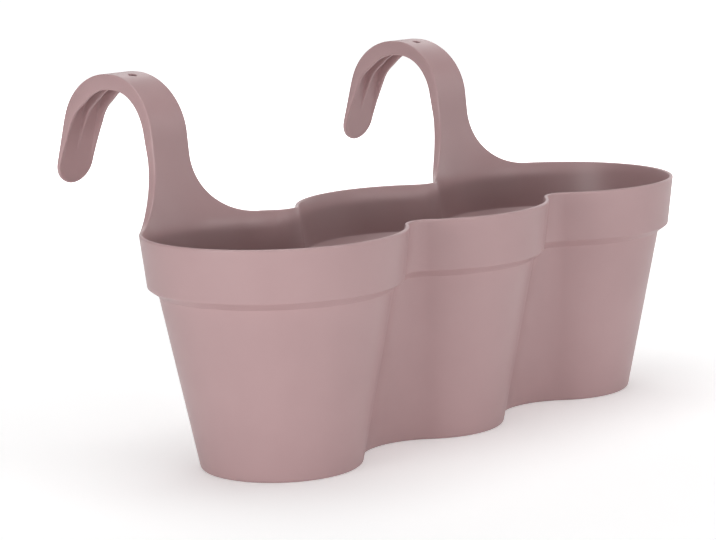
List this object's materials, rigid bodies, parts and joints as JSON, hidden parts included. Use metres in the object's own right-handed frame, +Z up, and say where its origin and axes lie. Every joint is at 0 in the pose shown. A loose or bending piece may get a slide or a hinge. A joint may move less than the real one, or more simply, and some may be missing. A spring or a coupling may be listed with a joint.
{
  "type": "balcony railing planter",
  "caption": "Hang-over railing planter: round pots moulded in one row as an open trough, with arched hooks on the rear rim, lift-out drainage grids and drain plugs.",
  "frame": {"origin": "on the surface that the base stands on, under the middle of the whole object, hooks included", "axes": "+X along the row of pots, to the right seen from the front; -Y to the front, with the hooks on the +Y side; +Z up"},
  "size_m": [0.466, 0.2816, 0.25],
  "materials": {
    "pink_plastic": "satin dusty pink, moulded",
    "grid_plastic": "matt dark grey, moulded",
    "plug_rubber": "matt black rubber"
  },
  "bodies": {
    "planter": {"planter_body": "pink_plastic"},
    "grid_left": {"drainage_grid_left": "grid_plastic"},
    "grid_middle": {"drainage_grid_middle": "grid_plastic"},
    "grid_right": {"drainage_grid_right": "grid_plastic"},
    "plug_left": {"drain_plug_left": "plug_rubber"},
    "plug_middle": {"drain_plug_middle": "plug_rubber"},
    "plug_right": {"drain_plug_right": "plug_rubber"}
  },
  "joints": [
    {"name": "grid_left_lift", "type": "slide", "parent": "planter", "child": "grid_left", "axis": [0, 0, 1], "range_m": [0, 0.16]},
    {"name": "grid_middle_lift", "type": "slide", "parent": "planter", "child": "grid_middle", "axis": [0, 0, 1], "range_m": [0, 0.16]},
    {"name": "grid_right_lift", "type": "slide", "parent": "planter", "child": "grid_right", "axis": [0, 0, 1], "range_m": [0, 0.16]},
    {"name": "plug_left_pull", "type": "slide", "parent": "planter", "child": "plug_left", "axis": [0, 0, 1], "range_m": [0, 0.0045]},
    {"name": "plug_middle_pull", "type": "slide", "parent": "planter", "child": "plug_middle", "axis": [0, 0, 1], "range_m": [0, 0.0045]},
    {"name": "plug_right_pull", "type": "slide", "parent": "planter", "child": "plug_right", "axis": [0, 0, 1], "range_m": [0, 0.0045]}
  ]
}
